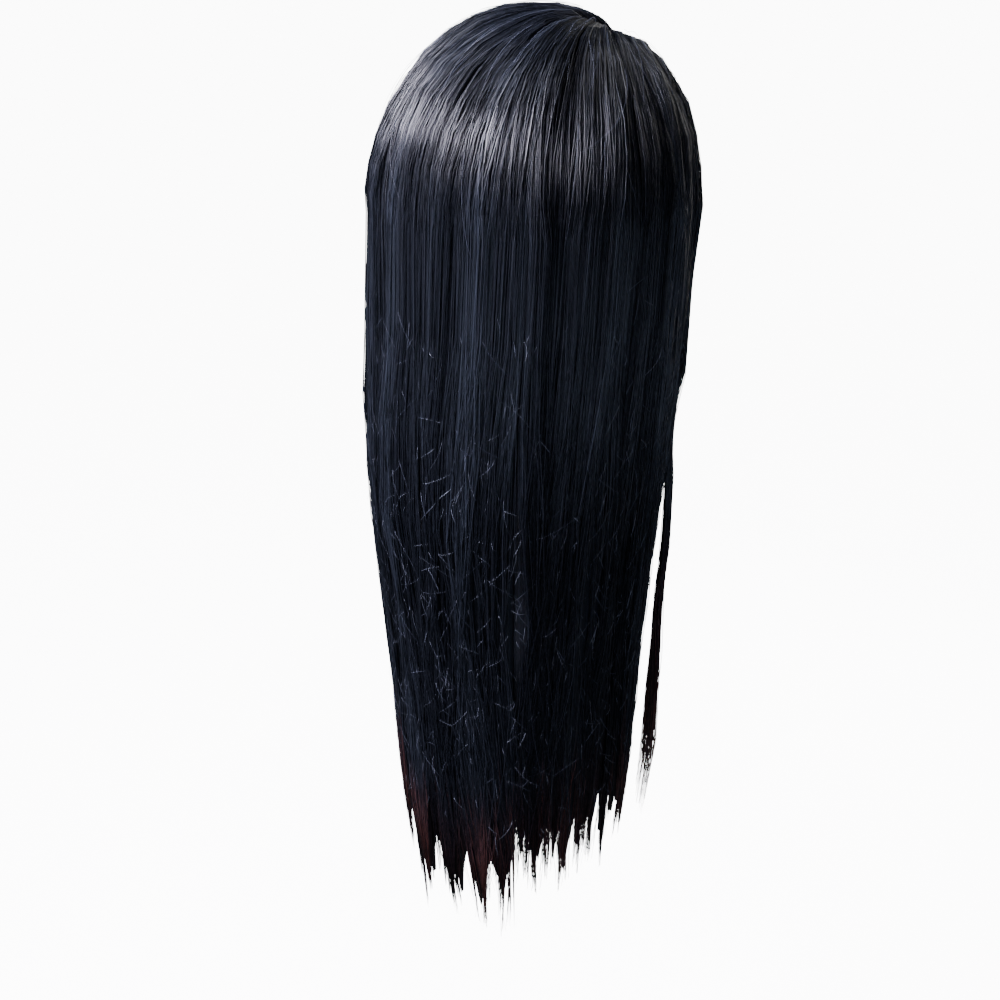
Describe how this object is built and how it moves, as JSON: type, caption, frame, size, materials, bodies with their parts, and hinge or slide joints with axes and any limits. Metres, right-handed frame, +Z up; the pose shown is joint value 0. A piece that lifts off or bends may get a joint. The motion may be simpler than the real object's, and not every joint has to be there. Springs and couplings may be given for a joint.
{
  "type": "lace front wig",
  "caption": "Long straight black wig with a side part, a stretch cap, a lace front and hair hanging in pointed locks, kept in the form it has when worn",
  "frame": {"origin": "highest point inside the cap, where the top of the head bears", "axes": "+Z up, the face looks along -Y, the wearer's right is -X"},
  "size_m": [0.2149, 0.2335, 0.6686],
  "materials": {
    "black_hair": "glossy straight synthetic fibre",
    "cap_net": "matt stretch net",
    "lace": "matt fine mesh"
  },
  "bodies": {
    "root": {"cap_side_right": "cap_net", "cap_crown": "cap_net", "cap_nape": "cap_net", "cap_side_left": "cap_net", "lace_front": "lace", "ear_tab_right": "cap_net", "ear_tab_left": "cap_net", "front_lock_right": "black_hair", "side_hair_right": "black_hair", "back_hair_right": "black_hair", "back_hair_centre": "black_hair", "back_hair_left": "black_hair", "side_hair_left": "black_hair", "front_lock_left": "black_hair", "under_hair_right": "black_hair", "under_hair_back": "black_hair", "under_hair_left": "black_hair"}
  },
  "joints": []
}
